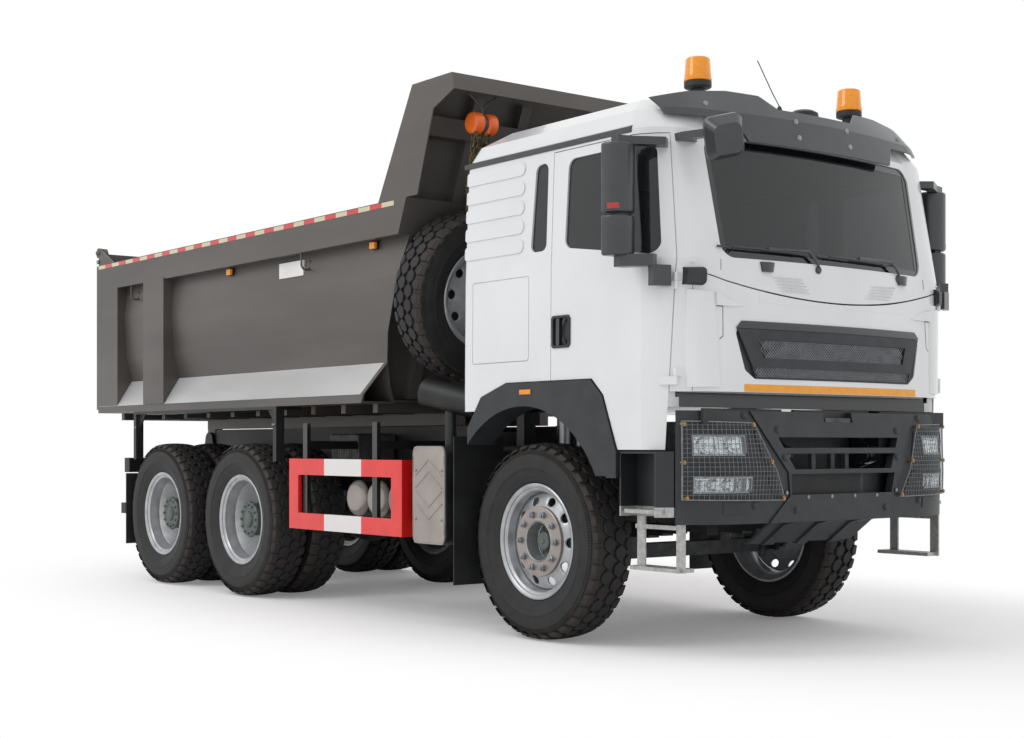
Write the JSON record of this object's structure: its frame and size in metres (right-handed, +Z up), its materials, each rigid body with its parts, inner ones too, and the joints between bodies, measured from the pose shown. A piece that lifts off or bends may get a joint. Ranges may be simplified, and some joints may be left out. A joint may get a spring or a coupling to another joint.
{
  "type": "three-axle tipper truck",
  "caption": "Three-axle tipper truck with a forward tilting cab, a rear tipping bed with hinged tailgate, a front hoist and a spare wheel behind the cab.",
  "frame": {"origin": "middle of the truck's footprint, on the ground", "axes": "+Z up, -Y forward, +X to the truck's left"},
  "size_m": [2.938, 7.8953, 3.568],
  "materials": {
    "painted_frame": "satin paint",
    "white_paint": "gloss paint",
    "dark_plastic": "fine grain",
    "lamp_glass": "polished",
    "tinted_glass": "polished",
    "amber_plastic": "gloss",
    "galvanised_steel": "galvanised",
    "cast_iron": "as cast",
    "guard_paint": "gloss paint",
    "tank_paint": "satin paint",
    "black_rubber": "matte",
    "tyre_rubber": "matte",
    "silver_paint": "satin paint",
    "seat_fabric": "woven",
    "bed_paint": "satin paint",
    "hoist_steel": "ground"
  },
  "bodies": {
    "chassis": {"chassis_frame": "painted_frame", "front_bumper": "dark_plastic", "headlamps": "lamp_glass", "cab_steps": "galvanised_steel", "axles": "cast_iron", "leaf_springs": "painted_frame", "engine": "cast_iron", "side_guards": "guard_paint", "air_tanks": "tank_paint", "silencer_box": "tank_paint", "fuel_tank": "tank_paint", "mud_flaps": "black_rubber", "rear_bar": "painted_frame", "spare_tyre": "tyre_rubber", "spare_rim": "silver_paint", "spare_carrier": "painted_frame", "air_intake": "tank_paint"},
    "cab": {"cab_shell": "white_paint", "cab_roof": "white_paint", "sun_visor": "dark_plastic", "cab_glass": "tinted_glass", "wheel_arches": "dark_plastic", "dashboard": "dark_plastic", "seats": "seat_fabric", "beacons": "amber_plastic", "front_mirror": "dark_plastic"},
    "door_left": {"door_left": "white_paint", "door_glass_left": "tinted_glass", "mirror_left": "dark_plastic"},
    "door_right": {"door_right": "white_paint", "door_glass_right": "tinted_glass", "mirror_right": "dark_plastic"},
    "front_flap": {"front_flap": "white_paint", "grille": "dark_plastic"},
    "knuckle_left": {"knuckle_left": "painted_frame"},
    "knuckle_right": {"knuckle_right": "painted_frame"},
    "wheel_front_left": {"tyre_front_left": "tyre_rubber", "rim_front_left": "silver_paint"},
    "wheel_front_right": {"tyre_front_right": "tyre_rubber", "rim_front_right": "silver_paint"},
    "wheels_mid_left": {"tyres_mid_left": "tyre_rubber", "rims_mid_left": "silver_paint"},
    "wheels_mid_right": {"tyres_mid_right": "tyre_rubber", "rims_mid_right": "silver_paint"},
    "wheels_rear_left": {"tyres_rear_left": "tyre_rubber", "rims_rear_left": "silver_paint"},
    "wheels_rear_right": {"tyres_rear_right": "tyre_rubber", "rims_rear_right": "silver_paint"},
    "tipper": {"tipper_body": "bed_paint", "wheel_frames": "bed_paint", "headboard": "bed_paint"},
    "tailgate": {"tailgate": "bed_paint"},
    "hoist_tube": {"hoist_tube": "hoist_steel"},
    "hoist_stage_1": {"hoist_stage_1": "hoist_steel"},
    "hoist_stage_2": {"hoist_stage_2": "hoist_steel"},
    "hoist_stage_3": {"hoist_stage_3": "hoist_steel"}
  },
  "joints": [
    {"name": "cab_tilt", "type": "hinge", "parent": "chassis", "child": "cab", "pos_m": [0, -3.66, 1.13], "axis": [1, 0, 0], "range_deg": [0, 50]},
    {"name": "door_left_hinge", "type": "hinge", "parent": "cab", "child": "door_left", "pos_m": [1.15, -3.603, 2], "axis": [0, 0, -1], "range_deg": [0, 75]},
    {"name": "door_right_hinge", "type": "hinge", "parent": "cab", "child": "door_right", "pos_m": [-1.15, -3.603, 2], "axis": [0, 0, 1], "range_deg": [0, 75]},
    {"name": "front_flap_hinge", "type": "hinge", "parent": "cab", "child": "front_flap", "pos_m": [0, -3.715, 2.145], "axis": [-1, 0, 0], "range_deg": [0, 85]},
    {"name": "steer_left", "type": "hinge", "parent": "chassis", "child": "knuckle_left", "pos_m": [0.85, -2.37, 0.555], "axis": [0, 0, 1], "range_deg": [-32, 32]},
    {"name": "steer_right", "type": "hinge", "parent": "chassis", "child": "knuckle_right", "pos_m": [-0.85, -2.37, 0.555], "axis": [0, 0, 1], "range_deg": [-32, 32]},
    {"name": "wheel_front_left_spin", "type": "hinge", "parent": "knuckle_left", "child": "wheel_front_left", "pos_m": [1.015, -2.37, 0.6], "axis": [1, 0, 0], "continuous": true},
    {"name": "wheel_front_right_spin", "type": "hinge", "parent": "knuckle_right", "child": "wheel_front_right", "pos_m": [-1.015, -2.37, 0.6], "axis": [1, 0, 0], "continuous": true},
    {"name": "wheels_mid_left_spin", "type": "hinge", "parent": "chassis", "child": "wheels_mid_left", "pos_m": [0.923, 1.23, 0.6], "axis": [1, 0, 0], "continuous": true},
    {"name": "wheels_mid_right_spin", "type": "hinge", "parent": "chassis", "child": "wheels_mid_right", "pos_m": [-0.923, 1.23, 0.6], "axis": [1, 0, 0], "continuous": true},
    {"name": "wheels_rear_left_spin", "type": "hinge", "parent": "chassis", "child": "wheels_rear_left", "pos_m": [0.923, 2.63, 0.6], "axis": [1, 0, 0], "continuous": true},
    {"name": "wheels_rear_right_spin", "type": "hinge", "parent": "chassis", "child": "wheels_rear_right", "pos_m": [-0.923, 2.63, 0.6], "axis": [1, 0, 0], "continuous": true},
    {"name": "bed_tip", "type": "hinge", "parent": "chassis", "child": "tipper", "pos_m": [0, 3.28, 1.232], "axis": [-1, 0, 0], "range_deg": [0, 45]},
    {"name": "tailgate_swing", "type": "hinge", "parent": "tipper", "child": "tailgate", "pos_m": [0, 3.932, 2.952], "axis": [1, 0, 0], "range_deg": [0, 60]},
    {"name": "hoist_tilt", "type": "hinge", "parent": "chassis", "child": "hoist_tube", "pos_m": [0, -1.33, 1.01], "axis": [-1, 0, 0], "range_deg": [0, 29]},
    {"name": "hoist_slide_1", "type": "slide", "parent": "hoist_tube", "child": "hoist_stage_1", "axis": [0, 0, 1], "range_m": [0, 1.2]},
    {"name": "hoist_slide_2", "type": "slide", "parent": "hoist_stage_1", "child": "hoist_stage_2", "axis": [0, 0, 1], "range_m": [0, 1.2]},
    {"name": "hoist_slide_3", "type": "slide", "parent": "hoist_stage_2", "child": "hoist_stage_3", "axis": [0, 0, 1], "range_m": [0, 1.2]}
  ],
  "couplings": [
    {"joint": "steer_right", "follows": "steer_left", "ratio": 1},
    {"joint": "hoist_tilt", "follows": "bed_tip", "ratio": 0.6115},
    {"joint": "hoist_slide_1", "follows": "bed_tip", "m_per_rad": 1.4543},
    {"joint": "hoist_slide_2", "follows": "bed_tip", "m_per_rad": 1.4543},
    {"joint": "hoist_slide_3", "follows": "bed_tip", "m_per_rad": 1.4543}
  ]
}
